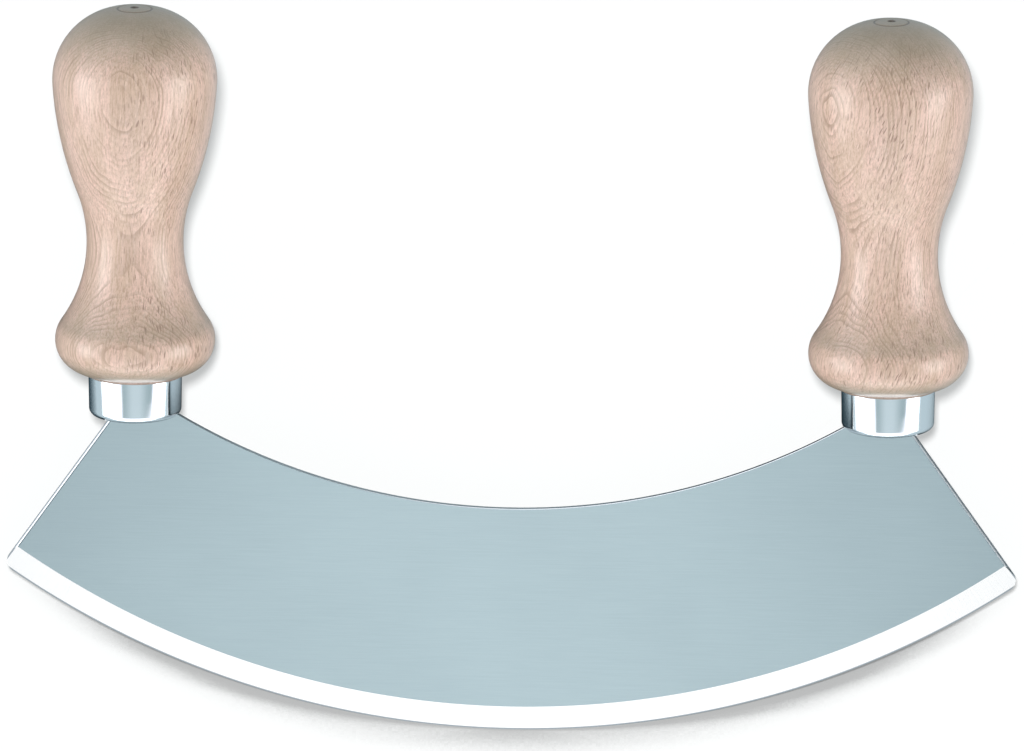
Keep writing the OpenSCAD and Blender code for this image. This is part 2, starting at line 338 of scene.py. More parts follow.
def right_outline():
    """The right half of the blade's outline, from the edge's middle round to the back's middle."""
    reach = EDGE_R - TIP_ROUND
    tip_turn = math.asin(TIP_ROUND / reach)
    outline = [polar(EDGE_R, (HALF_ANGLE - tip_turn) * i / EDGE_STEPS) for i in range(EDGE_STEPS + 1)]
    tip_x, tip_z = polar(reach, HALF_ANGLE - tip_turn)
    first = HALF_ANGLE - tip_turn - math.pi / 2
    for i in range(1, TIP_STEPS + 1):
        t = first + (math.pi / 2 + tip_turn) * i / TIP_STEPS
        outline.append((tip_x + TIP_ROUND * math.cos(t), tip_z + TIP_ROUND * math.sin(t)))
    start = Vector(outline[-1])
    end = Vector(((EDGE_R - SHOULDER_TOP) * math.tan(HALF_ANGLE), SHOULDER_TOP))
    outline += [tuple(start.lerp(end, i / END_STEPS)) for i in range(1, END_STEPS + 1)]
    outline += [
        (GRIP_X + TANG_W / 2, SHOULDER_TOP),
        (GRIP_X + TANG_W / 2, SHOULDER_TOP + TANG_STEP_H),
        (GRIP_X + TANG_W / 2, SHOULDER_Z + TANG_STRAIGHT),
        (GRIP_X + TANG_TIP_W / 2, SHOULDER_Z + TANG_LEN),
        (GRIP_X - TANG_TIP_W / 2, SHOULDER_Z + TANG_LEN),
        (GRIP_X - TANG_W / 2, SHOULDER_Z + TANG_STRAIGHT),
        (GRIP_X - TANG_W / 2, SHOULDER_TOP + TANG_STEP_H),
        (GRIP_X - TANG_W / 2, SHOULDER_TOP),
    ]
    round_x = FERRULE_FOOT_R + SHOULDER_GAP - FOOT_ROUND
    corner = Vector((GRIP_X - round_x, SHOULDER_TOP + FOOT_ROUND))
    for i in range(CORNER_STEPS + 1):
        t = -math.pi / 2 - math.radians(90) * i / CORNER_STEPS
        p = corner + FOOT_ROUND * Vector((math.cos(t), math.sin(t)))
        if math.hypot(p.x, EDGE_R - p.y) < BACK_R:
            break
        outline.append(tuple(p))
    end_angle = math.atan2(outline[-1][0], EDGE_R - outline[-1][1])
    outline += [polar(BACK_R, end_angle * (1 - i / BACK_STEPS)) for i in range(1, BACK_STEPS + 1)]
    return outline


def arc_line(radius, inset, count):
    """Points on an arc across the whole blade, from one end's chamfer line to the other's."""
    stop = HALF_ANGLE - math.asin(inset / radius)
    return [polar(radius, stop * (2 * i / count - 1)) for i in range(count + 1)]


def inside(outline, x, z):
    """Whether the point lies inside the closed outline, by the crossings to one side of it."""
    hit = False
    for (ax, az), (bx, bz) in zip(outline, outline[1:] + outline[:1]):
        if (az > z) != (bz > z) and x < (bx - ax) * (z - az) / (bz - az) + ax:
            hit = not hit
    return hit


def end_creases(side):
    """One end's folds: along its chamfer, over the bevel and the flat, and across its tang's foot."""
    rise = (SHEET - EDGE_T) / 2 / BEVEL_W
    meet = EDGE_R - (SHEET / 2 - END_CHAMFER_D - EDGE_T / 2) / rise
    low = polar(BEVEL_R, HALF_ANGLE - math.asin(END_CHAMFER_W / BEVEL_R))
    high_x = (EDGE_R - SHOULDER_TOP) * math.tan(HALF_ANGLE) - END_CHAMFER_W / math.cos(HALF_ANGLE)
    chamfer = [polar(meet, HALF_ANGLE), low]
    start, end = Vector(low), Vector((high_x, SHOULDER_TOP))
    chamfer += [tuple(start.lerp(end, i / END_STEPS)) for i in range(1, END_STEPS + 1)]
    step_z = SHOULDER_TOP + TANG_STEP_H
    tang_foot = [(side * (GRIP_X - TANG_W / 2), step_z), (side * (GRIP_X + TANG_W / 2), step_z)]
    return [(side * x, z) for x, z in chamfer], tang_foot


def inner_points(outline):
    """Points in rows over the flats, so that no triangle there is long and thin."""
    reach = HALF_ANGLE - 0.012
    points = []
    for row in INNER_ROWS:
        for i in range(INNER_STEPS + 1):
            p = polar(BACK_R + row, reach * (2 * i / INNER_STEPS - 1))
            if inside(outline, *p) and p[1] < SHOULDER_TOP - 1.0:
                points.append(p)
    return points


def blade_plan():
    """The blade's outline and creases in the plane, and the triangles between them."""
    right = right_outline()
    left = [(-x, z) for x, z in reversed(right)][1:-1]
    outline = right + left
    points = list(outline)
    lines = [(i, (i + 1) % len(outline)) for i in range(len(outline))]

    def crease(chain):
        """Adds a chain of points with a fold along it."""
        at = len(points)
        points.extend(chain)
        lines.extend((at + i, at + i + 1) for i in range(len(chain) - 1))

    crease(arc_line(BEVEL_R, END_CHAMFER_W, 2 * EDGE_STEPS))
    for side in (-1, 1):
        for chain in end_creases(side):
            crease(chain)
    on_back = [
        x for x, z in outline
        if math.hypot(x, EDGE_R - z) < BACK_R + TOUCH and z < SHOULDER_TOP + 2
    ]
    soft_angle = math.asin(max(on_back) / BACK_R)
    soft_steps = 2 * BACK_STEPS
    soft_r = BACK_R + BACK_SOFT
    crease([polar(soft_r, soft_angle * (2 * i / soft_steps - 1)) for i in range(soft_steps + 1)])
    points.extend(inner_points(outline))
    flat = [Vector(p) for p in points]
    verts, _, faces = delaunay_2d_cdt(flat, lines, [], 0, 1e-5)[:3]
    plan = [tuple(v) for v in verts]
    kept = []
    for f in faces:
        cx = sum(plan[i][0] for i in f) / len(f)
        cz = sum(plan[i][1] for i in f) / len(f)
        if inside(outline, cx, cz):
            kept.append(tuple(f))
    return plan, kept


# The blade's finishes, in the order of its materials
FLAT, BEVEL, RIM = 0, 1, 2


def face_kind(corners):
    """Which finish a face of the blade has: satin flat, ground bevel or rim."""
    radii = [math.hypot(x, EDGE_R - z) for x, z in corners]
    if min(radii) > BEVEL_R - TOUCH:
        return BEVEL
    on_back = max(radii) < BACK_R + BACK_SOFT + TOUCH
    on_chamfer = max(from_end(x, z) for x, z in corners) < END_CHAMFER_W + TOUCH
    if on_back or on_chamfer:
        return RIM
    return FLAT


def blade_piece(name):
    """The crescent blade with its tangs: both faces from the plan, joined by the rim."""
    plan, triangles = blade_plan()
    bm = bmesh.new()
    tops, unders = [], []
    for x, z in plan:
        half = half_thickness(x, z)
        tops.append(bm.verts.new((x * MM, -half * MM, z * MM)))
        unders.append(bm.verts.new((x * MM, half * MM, z * MM)))
    ways = []
    for tri in triangles:
        kind = face_kind([plan[i] for i in tri])
        for side in (tops, unders):
            face = bm.faces.new([side[i] for i in tri])
            face.material_index = kind
        ways.extend(zip(tri, tri[1:] + tri[:1]))
    shared = set(ways)
    for a, b in [way for way in ways if way[::-1] not in shared]:
        face = bm.faces.new((tops[a], tops[b], unders[b], unders[a]))
        face.material_index = RIM
    loose = [v for v in bm.verts if not v.link_faces]
    bmesh.ops.delete(bm, geom=loose, context="VERTS")
    return new_piece(name, bm, LAID_DOWN, sharp_deg=4)


class Bench:
    """Puts nodes into one node tree, each linked to or set by what it is given."""

    def __init__(self, tree):
        self.tree = tree

    def put(self, kind, settings=None, **inputs):
        """A new node with its settings made and its inputs fed; _ stands for a space in their names."""
        node = self.tree.nodes.new(kind)
        for key, value in (settings or {}).items():
            setattr(node, key, value)
        for key, value in inputs.items():
            self.feed(node.inputs[key.replace("_", " ")], value)
        return node

    def feed(self, socket, value):
        """Links the socket to another node's output, or sets it to a plain value."""
        if isinstance(value, bpy.types.NodeSocket):
            self.tree.links.new(value, socket)
        else:
            socket.default_value = value

    def maths(self, operation, a, b=None, c=None):
        """The result of one operation on up to three values."""
        node = self.put("ShaderNodeMath", {"operation": operation})
        for socket, value in zip(node.inputs, (a, b, c)):
            if value is not None:
                self.feed(socket, value)
        return node.outputs[0]

    def vector(self, operation, a, b):
        """The result of one operation on two vectors."""
        node = self.put("ShaderNodeVectorMath", {"operation": operation})
        self.feed(node.inputs[0], a)
        self.feed(node.inputs[1], b)
        return node.outputs[0]

    def join(self, x, y, z):
        """Three values as one vector or colour."""
        return self.put("ShaderNodeCombineXYZ", X=x, Y=y, Z=z).outputs[0]

    def ramp(self, value, low, high, to_low=0.0, to_high=1.0):
        """A smooth step from to_low at low to to_high at high; low may be the larger one."""
        node = self.put("ShaderNodeMapRange", {"interpolation_type": "SMOOTHSTEP"})
        for socket, item in zip(node.inputs, (value, low, high, to_low, to_high)):
            self.feed(socket, item)
        return node.outputs[0]

    def noise(self, vector, scale, detail=2.0, roughness=0.5):
        """Soft noise between 0 and 1, about 0.5 on average."""
        given = {"Vector": vector, "Scale": scale, "Detail": detail, "Roughness": roughness}
        return self.put("ShaderNodeTexNoise", **given).outputs[0]

    def mix(self, factor, a, b, blend="MIX"):
        """Colour a with colour b over it by the factor."""
        node = self.put("ShaderNodeMix", {"data_type": "RGBA", "blend_type": blend})
        self.feed(node.inputs[0], factor)
        self.feed(node.inputs[6], a)
        self.feed(node.inputs[7], b)
        return node.outputs[2]


def rgb(r, g, b):
    """An opaque colour, in linear light."""
    return (r, g, b, 1.0)


def new_material(name):
    """A material with one Principled shader, the bench for its nodes, and that shader."""
    material = bpy.data.materials.new(name)
    material.use_nodes = True
    material.node_tree.nodes.clear()
    bench = Bench(material.node_tree)
    out = bench.put("ShaderNodeOutputMaterial")
    shader = bench.put("ShaderNodeBsdfPrincipled")
    bench.feed(out.inputs["Surface"], shader.outputs[0])
    return material, bench, shader


def in_mm(bench, placed):
    """The surface's place in millimetres, in the upright frame that placed lays down."""
    at = bench.put("ShaderNodeTexCoord").outputs["Object"]
    back = bench.put("ShaderNodeMapping", {"vector_type": "TEXTURE"}, Vector=at)
    back.inputs["Location"].default_value = placed.to_translation()
    back.inputs["Rotation"].default_value = placed.to_euler()
    back.inputs["Scale"].default_value = (MM, MM, MM)
    return back.outputs[0]


def new_group(name, inputs, outputs):
    """A shader node group with the given sockets: name and kind, and a starting value for inputs."""
    tree = bpy.data.node_groups.new(name, "ShaderNodeTree")
    for label, kind, value in inputs:
        socket = tree.interface.new_socket(label, in_out="INPUT", socket_type=kind)
        if value is not None:
            socket.default_value = value
    for label, kind in outputs:
        tree.interface.new_socket(label, in_out="OUTPUT", socket_type=kind)
    bench = Bench(tree)
    return tree, bench, bench.put("NodeGroupInput").outputs, bench.put("NodeGroupOutput").inputs


def relief(b, shader, height, strength, distance):
    """Gives the shader a bump of the height, distance metres deep at full strength."""
    bump = b.put("ShaderNodeBump", Strength=strength, Distance=distance, Height=height)
    b.feed(shader.inputs["Normal"], bump.outputs[0])


def fibres(b, place, across, along, detail=1.0, roughness=0.5):
    """Noise with that many cells per millimetre across the fibres and along them."""
    stretched = b.vector("MULTIPLY", place, (across, across, along))
    return b.noise(stretched, 1.0, detail, roughness)


# Beech: its ground, then what darkens or lightens it
BEECH_PALE = rgb(0.655, 0.480, 0.365)
BEECH_ROSY = rgb(0.790, 0.565, 0.470)
FIBRE_DARK = rgb(0.460, 0.305, 0.215)
THREAD_PALE = rgb(0.830, 0.650, 0.540)
SPECKLE_DARK = rgb(0.470, 0.320, 0.230)
LATE_WOOD = rgb(0.390, 0.262, 0.180)
FLECK_DARK = rgb(0.245, 0.135, 0.090)
END_GRAIN = rgb(0.325, 0.295, 0.210)
BURNISHED = rgb(0.110, 0.080, 0.055)
# painted shade for the foot of the wood, where it meets the ferrule
COLLAR_PAINTED_SHADE = rgb(0.150, 0.120, 0.095)

# Ray flecks in three sizes: cells across and up per millimetre, half width of a fleck in cells,
# shift against the other sizes, and the share of them that is left out
FLECK_SIZES = (
    (1.25, 0.150, 0.17, 0.0, 0.10),
    (1.55, 0.210, 0.16, 7.3, 0.25),
    (2.9, 0.40, 0.20, 3.1, 0.15),
)


def beech_group():
    """Beech figure in the grip's own millimetres: growth rings, fibres, ray flecks and end grain, with a
    painted shade where the wood meets the ferrule.
    """
    number, colour, vector = "NodeSocketFloat", "NodeSocketColor", "NodeSocketVector"
    tree, b, given, out = new_group("beech_figure", [
        ("Place", vector, None),
        ("Heart", vector, (12.0, 69.0, 0.0)),
        ("Ring Width", number, 0.62),
        ("Lean", number, 0.0),
        ("Offset", vector, (0.0, 0.0, 0.0)),
        ("Eye", vector, (0.0, 0.0, 0.0)),
        ("Quiet", number, 0.3),
    ], [("Color", colour), ("Roughness", number), ("Height", number)])
    split = b.put("ShaderNodeSeparateXYZ", Vector=given["Place"])
    x, y, z = split.outputs
    leant = b.maths("MULTIPLY_ADD", z, given["Lean"], x)
    moved = b.vector("ADD", b.join(leant, y, z), given["Offset"])
    slow = fibres(b, moved, 0.075, 0.030)
    ripple = fibres(b, moved, 0.24, 0.10)

    # growth rings: how far the place is from the heart of the log
    heart = b.put("ShaderNodeSeparateXYZ", Vector=given["Heart"])
    off_x = b.maths("SUBTRACT", x, heart.outputs[0])
    off_y = b.maths("SUBTRACT", y, heart.outputs[1])
    reach = b.maths("SQRT", b.maths("MULTIPLY_ADD", off_x, off_x, b.maths("MULTIPLY", off_y, off_y)))
    eye_way = b.vector("MULTIPLY", b.vector("SUBTRACT", given["Place"], given["Eye"]), (1.0, 1.0, 0.62))
    eye_far = b.put("ShaderNodeVectorMath", {"operation": "LENGTH"}, Vector=eye_way).outputs["Value"]
    reach = b.maths("ADD", reach, b.ramp(eye_far, 0.0, 13.0, 3.0, 0.0))
    wavy = b.maths("MULTIPLY_ADD", slow, 2.1, b.maths("MULTIPLY_ADD", ripple, 0.95, reach))
    turn = b.maths("DIVIDE", wavy, given["Ring Width"])
    within = b.maths("FRACT", turn)
    late = b.maths("MULTIPLY", b.ramp(within, 0.25, 0.88), b.ramp(within, 1.0, 0.90))
    whole = b.maths("FLOOR", turn)
    year = b.put("ShaderNodeTexWhiteNoise", {"noise_dimensions": "1D"}, W=whole).outputs[0]
    ring = b.maths("MULTIPLY", late, b.ramp(year, 0.10, 0.95, 0.25, 1.0))
    faint = fibres(b, moved, 0.16, 0.09, 2.0)
    ring = b.maths("MULTIPLY", ring, b.ramp(faint, 0.38, 0.60, 0.32, 1.0))

    # fibres and broad streaks along the grip
    fine = fibres(b, moved, 2.5, 0.17, 4.0, 0.68)
    thread = fibres(b, moved, 1.6, 0.07, 2.0, 0.55)
    broad = fibres(b, moved, 0.30, 0.025, 3.0, 0.55)
    speckle = fibres(b, moved, 3.2, 1.5, 2.0, 0.6)

    # rays: thin upright plates that run out from the heart, seen as short dark spindles
    swing = b.maths("ARCTAN2", x, b.maths("MULTIPLY", y, -1.0))
    slant = b.maths("MULTIPLY", z, b.maths("MULTIPLY", given["Lean"], 1.7))
    round_way = b.maths("MULTIPLY_ADD", swing, 15.0, slant)
    round_way = b.maths("MULTIPLY_ADD", ripple, 2.2, round_way)
    flat_cells = {"feature": "F1", "voronoi_dimensions": "2D"}
    flecks = []
    for across, up, half, shift, least in FLECK_SIZES:
        spot = b.join(
            b.maths("MULTIPLY_ADD", round_way, across, shift),
            b.maths("MULTIPLY_ADD", z, up, shift * 2.1),
            0.0,
        )
        cell = b.put("ShaderNodeTexVoronoi", flat_cells, Vector=spot, Scale=1.0)
        near = b.ramp(cell.outputs["Distance"], half, half * 0.50)
        some = b.put("ShaderNodeSeparateColor", Color=cell.outputs["Color"])
        flecks.append(b.maths("MULTIPLY", near, b.ramp(some.outputs[0], least, least + 0.55)))
    patch = fibres(b, moved, 0.10, 0.045)
    quieter_left = b.ramp(leant, -13.0, 5.0, given["Quiet"], 1.0)
    showing = b.maths("MULTIPLY", quieter_left, b.ramp(patch, 0.30, 0.60, 0.50, 1.0))
    small_flecks = b.maths("MULTIPLY", flecks[2], 0.50)
    fleck = b.maths("MAXIMUM", flecks[0], b.maths("MAXIMUM", flecks[1], small_flecks))
    fleck = b.maths("MULTIPLY", fleck, showing)

    # end grain shows where the surface turns across the fibres
    grain_way = tuple(LAID_DOWN.to_3x3() @ Vector((0, 0, 1)))
    facing = b.put("ShaderNodeVectorMath", {"operation": "DOT_PRODUCT"})
    b.feed(facing.inputs[0], b.put("ShaderNodeTexCoord").outputs["Normal"])
    b.feed(facing.inputs[1], grain_way)
    across_grain = b.maths("ABSOLUTE", facing.outputs["Value"])
    broken = b.maths("MULTIPLY_ADD", speckle, 0.30, b.maths("MULTIPLY_ADD", thread, 0.16, across_grain))
    end = b.ramp(broken, 0.48, 1.12)

    # the ring and the mark that the lathe burnishes into the top
    from_axis = b.maths("SQRT", b.maths("MULTIPLY_ADD", x, x, b.maths("MULTIPLY", y, y)))
    beside = b.maths("ABSOLUTE", b.maths("SUBTRACT", from_axis, RING_R))
    burnt = b.maths("MAXIMUM", b.ramp(beside, 0.36, 0.10, 0.0, 0.66), b.ramp(from_axis, 1.20, 0.80))
    burnt = b.maths("MULTIPLY", burnt, b.ramp(z, GRIP_TOP - 3.0, GRIP_TOP - 2.4))

    tone = b.mix(b.ramp(broad, 0.34, 0.66), BEECH_PALE, BEECH_ROSY)
    tone = b.mix(b.ramp(fine, 0.34, 0.55, 0.74, 0.0), tone, FIBRE_DARK)
    tone = b.mix(b.ramp(thread, 0.50, 0.72, 0.0, 0.55), tone, THREAD_PALE)
    tone = b.mix(b.ramp(speckle, 0.46, 0.66, 0.0, 0.34), tone, SPECKLE_DARK)
    tone = b.mix(b.maths("MULTIPLY", ring, 0.80), tone, LATE_WOOD)
    tone = b.mix(b.maths("MULTIPLY", fleck, 0.85), tone, FLECK_DARK)
    tone = b.mix(b.maths("MULTIPLY", end, 0.66), tone, END_GRAIN)
    tone = b.mix(burnt, tone, BURNISHED)
    # painted shade along the foot of the wood, just above the ferrule
    tone = b.mix(b.ramp(z, FERRULE_LEN + 0.9, FERRULE_LEN + 0.1, 0.0, 0.75), tone, COLLAR_PAINTED_SHADE)
    b.feed(out["Color"], tone)
    rough = b.maths("MULTIPLY_ADD", fleck, -0.06, b.ramp(fine, 0.3, 0.7, 0.36, 0.46))
    b.feed(out["Roughness"], rough)
    height = b.maths("MULTIPLY_ADD", fleck, -0.6, fine)
    b.feed(out["Height"], b.maths("MULTIPLY_ADD", ring, -0.25, height))
    return tree


def beech_finish(name, group, side, heart, eye, lean, offset, quiet):
    """Smooth sanded beech under a thin coat of satin oil, cut from its own place in a log.

    In the grip's own millimetres, heart is where the log's middle ran and eye is where its rings
    bulge. Lean tilts the rays, offset picks the wood, and quiet is how strong the flecks stay at left.
    """
    material, b, shader = new_material(name)
    place = in_mm(b, at_grip(side))
    figure = b.put("ShaderNodeGroup", {"node_tree": group}, Place=place, Heart=heart, Eye=eye,
                   Lean=lean, Offset=offset, Quiet=quiet)
    b.feed(shader.inputs["Base Color"], figure.outputs["Color"])
    b.feed(shader.inputs["Roughness"], figure.outputs["Roughness"])
    shader.inputs["Specular IOR Level"].default_value = 0.60
    shader.inputs["Coat Weight"].default_value = 0.70
    shader.inputs["Coat Roughness"].default_value = 0.24
    relief(b, shader, figure.outputs["Height"], strength=0.35, distance=0.00012)
    return material


def steel_grain_group():
    """Fine parallel scratches: a value that streaks along the given place's x."""
    number, vector = "NodeSocketFloat", "NodeSocketVector"
    tree, b, given, out = new_group("steel_grain", [
        ("Place", vector, None),
        ("Along", number, 0.05),
        ("Across", number, 6.0),
    ], [("Streak", number), ("Cloud", number)])
    split = b.put("ShaderNodeSeparateXYZ", Vector=given["Place"])
    place = b.join(
        b.maths("MULTIPLY", split.outputs[0], given["Along"]),
        b.maths("MULTIPLY", split.outputs[1], given["Across"]),
        split.outputs[2],
    )
    coarse = b.noise(place, 1.0, 3.0, 0.6)
    fine = b.noise(place, 3.1, 2.0, 0.6)
    b.feed(out["Streak"], b.maths("MULTIPLY_ADD", fine, 0.5, b.maths("MULTIPLY", coarse, 0.5)))
    b.feed(out["Cloud"], b.noise(given["Place"], 0.03, 2.0))
    return tree


def scratches(b, grain, place, along, across):
    """The steel grain laid along the place's x: its streaks and its broad clouds."""
    group = b.put("ShaderNodeGroup", {"node_tree": grain}, Place=place, Along=along, Across=across)
    return group.outputs["Streak"], group.outputs["Cloud"]


def inset(b, x, z):
    """How far a place of the upright blade is inside its nearer end."""
    down = b.maths("SUBTRACT", EDGE_R, z)
    across = b.maths("MULTIPLY", b.maths("ABSOLUTE", x), math.cos(HALF_ANGLE))
    return b.maths("SUBTRACT", b.maths("MULTIPLY", down, math.sin(HALF_ANGLE)), across)


# Painted shade: the dark line painted where a bright face of the blade ends, for the shade and dark
# reflection at its edge
PAINTED_EDGE_SHADE = rgb(0.16, 0.20, 0.22)


def satin_steel(grain):
    """The blade's flats: even satin, with grain so fine that it only just shows, and a painted dark line
    along the end chamfers.
    """
    material, b, shader = new_material("satin_steel")
    place = in_mm(b, LAID_DOWN)
    split = b.put("ShaderNodeSeparateXYZ", Vector=place)
    lengthwise = b.join(split.outputs[0], split.outputs[2], split.outputs[1])
    streak, cloud = scratches(b, grain, lengthwise, along=0.06, across=5.0)
    tone = b.mix(b.ramp(streak, 0.25, 0.75), rgb(0.223, 0.272, 0.286), rgb(0.245, 0.297, 0.311))
    # painted shade: a dark line along the crease to each end chamfer, for the shade and dark reflection
    # there, weaker to the right
    end_line = inset(b, split.outputs[0], split.outputs[2])
    beside = b.maths("ABSOLUTE", b.maths("SUBTRACT", end_line, END_CHAMFER_W + 0.07))
    weaker_right = b.ramp(split.outputs[0], -20.0, 20.0, 1.0, 0.2)
    painted_crease_shade = b.maths("MULTIPLY", b.ramp(beside, 0.17, 0.08, 0.0, 0.85), weaker_right)
    tone = b.mix(painted_crease_shade, tone, rgb(0.06, 0.08, 0.09))
    b.feed(shader.inputs["Base Color"], tone)
    b.feed(shader.inputs["Roughness"], b.ramp(cloud, 0.3, 0.7, 0.325, 0.337))
    shader.inputs["Metallic"].default_value = 1.0
    shader.inputs["Specular Tint"].default_value = rgb(0.60, 0.62, 0.63)
    relief(b, shader, streak, strength=0.10, distance=0.00002)
    return material


def ground_steel(grain):
    """The ground bevel: bright, with scratches square to the cutting edge."""
    material, b, shader = new_material("ground_steel")
    split = b.put("ShaderNodeSeparateXYZ", Vector=in_mm(b, LAID_DOWN))
    down = b.maths("SUBTRACT", EDGE_R, split.outputs[2])
    angle = b.maths("ARCTAN2", split.outputs[0], down)
    radius = b.maths("SQRT", b.maths("MULTIPLY_ADD", down, down, b.maths("POWER", split.outputs[0], 2.0)))
    square_on = b.join(radius, b.maths("MULTIPLY", angle, EDGE_R), split.outputs[1])
    streak, _ = scratches(b, grain, square_on, along=0.10, across=4.0)
    tone = b.mix(b.ramp(streak, 0.3, 0.7), rgb(0.745, 0.735, 0.695), rgb(0.800, 0.785, 0.740))
    # painted shade along the cutting edge and along the bevel's ends
    tone = b.mix(b.ramp(radius, EDGE_R - 0.42, EDGE_R - 0.20, 0.0, 0.85), tone, PAINTED_EDGE_SHADE)
    end_line = inset(b, split.outputs[0], split.outputs[2])
    tone = b.mix(b.ramp(end_line, 0.40, 0.20, 0.0, 0.85), tone, PAINTED_EDGE_SHADE)
    b.feed(shader.inputs["Base Color"], tone)
    b.feed(shader.inputs["Roughness"], b.ramp(streak, 0.3, 0.7, 0.26, 0.18))
    shader.inputs["Metallic"].default_value = 1.0
    relief(b, shader, streak, strength=0.25, distance=0.00003)
    return material


def rim_steel(grain):
    """The blanked edges of the sheet, the end chamfers and the tangs."""
    material, b, shader = new_material("rim_steel")
    place = in_mm(b, LAID_DOWN)
    streak, _ = scratches(b, grain, place, along=0.3, across=8.0)
    split = b.put("ShaderNodeSeparateXYZ", Vector=place)
    end_line = inset(b, split.outputs[0], split.outputs[2])
    tone = b.mix(streak, rgb(0.78, 0.80, 0.81), rgb(0.86, 0.88, 0.89))
    # painted shade along the outer edge of the end chamfers
    tone = b.mix(b.ramp(end_line, 0.30, 0.14, 0.0, 0.85), tone, PAINTED_EDGE_SHADE)
    b.feed(shader.inputs["Base Color"], tone)
    b.feed(shader.inputs["Roughness"], b.ramp(streak, 0.3, 0.7, 0.34, 0.26))
    shader.inputs["Metallic"].default_value = 1.0
    return material


def polished_steel(name, grain, side):
    """The ferrules: bright polish with the faintest lines round the cup, and a painted shade round the
    foot.
    """
    material, b, shader = new_material(name)
    split = b.put("ShaderNodeSeparateXYZ", Vector=in_mm(b, at_grip(side)))
    swing = b.maths("ARCTAN2", split.outputs[1], split.outputs[0])
    cup_r = 10.6
    round_cup = b.join(b.maths("MULTIPLY", swing, cup_r), split.outputs[2], 0.0)
    streak, cloud = scratches(b, grain, round_cup, along=0.08, across=7.0)
    tone = b.mix(streak, rgb(0.86, 0.88, 0.895), rgb(0.95, 0.965, 0.975))
    # painted shade: darkens the rounded foot where it meets the blade, for the contact shadow there
    tone = b.mix(b.ramp(split.outputs[2], 0.66, 0.42, 0.0, 0.75), tone, rgb(0.14, 0.17, 0.19))
    b.feed(shader.inputs["Base Color"], tone)
    b.feed(shader.inputs["Roughness"], b.maths("MULTIPLY_ADD", cloud, 0.05, 0.075))
    shader.inputs["Metallic"].default_value = 1.0
    relief(b, shader, streak, strength=0.10, distance=0.00002)
    return material


def cured_resin():
    """Amber resin, with a few clouds and fine bubbles."""
    material, b, shader = new_material("cured_resin")
    place = in_mm(b, LAID_DOWN)
    cloud = b.noise(place, 0.35, 3.0)
    bubble = b.put("ShaderNodeTexVoronoi", {"feature": "F1"}, Vector=place, Scale=0.9).outputs["Distance"]
    tone = b.mix(cloud, rgb(0.46, 0.33, 0.14), rgb(0.62, 0.47, 0.23))
    tone = b.mix(b.ramp(bubble, 0.16, 0.10), tone, rgb(0.75, 0.66, 0.45))
    b.feed(shader.inputs["Base Color"], tone)
    b.feed(shader.inputs["Roughness"], b.ramp(cloud, 0.3, 0.7, 0.28, 0.42))
    return material


# The photograph's camera: where it aims, the way from there to it, its distance in metres, its lens
CAMERA_TARGET = Vector((0.000167, 0.081737, 0.01655))
CAMERA_WAY = Vector((0.059207, 0.055666, 0.996692)).normalized()
CAMERA_UP = Vector((-0.019206, 0.998323, -0.054616))
CAMERA_FAR = 4.1554
CAMERA_LENS = 643.1


def aimed(place, back, up):
    """A matrix at place whose -Z looks against back, with Y as near to up as it can be."""
    z = back.normalized()
    x = up.cross(z).normalized()
    y = z.cross(x)
    turn = Matrix((x, y, z)).transposed().to_4x4()
    return Matrix.Translation(place) @ turn


def set_camera():
    """Sets up the photograph's camera, far off with a long lens."""
    data = bpy.data.cameras.new("photo_camera")
    data.sensor_width = 36.0
    data.lens = CAMERA_LENS
    data.clip_start = 0.1
    data.clip_end = 60.0
    camera = bpy.data.objects.new("photo_camera", data)
    camera.matrix_world = aimed(CAMERA_TARGET + CAMERA_WAY * CAMERA_FAR, CAMERA_WAY, CAMERA_UP)
    bpy.context.scene.collection.objects.link(camera)
    bpy.context.scene.camera = camera


# The room: soft boxes for matt surfaces, and the walls and ceiling that mirrors see
LEFT_BOX = 4.65
RIGHT_BOX = 4.45
FRONT_BOX = 2.95
BOX_COLOUR = rgb(1.0, 0.97, 0.97)
ROOM_COLOUR = rgb(0.145, 0.172, 0.176)
CEILING_PALE = rgb(0.585, 0.70, 0.75)
CEILING_DIM = rgb(0.36, 0.465, 0.50)
LOW_WALL = rgb(0.74, 0.86, 0.93)
HIGH_WALL = rgb(1.34, 1.37, 1.48)
BACK_WALL = rgb(0.12, 0.16, 0.18)
BACKDROP = rgb(0.97, 0.975, 0.98)


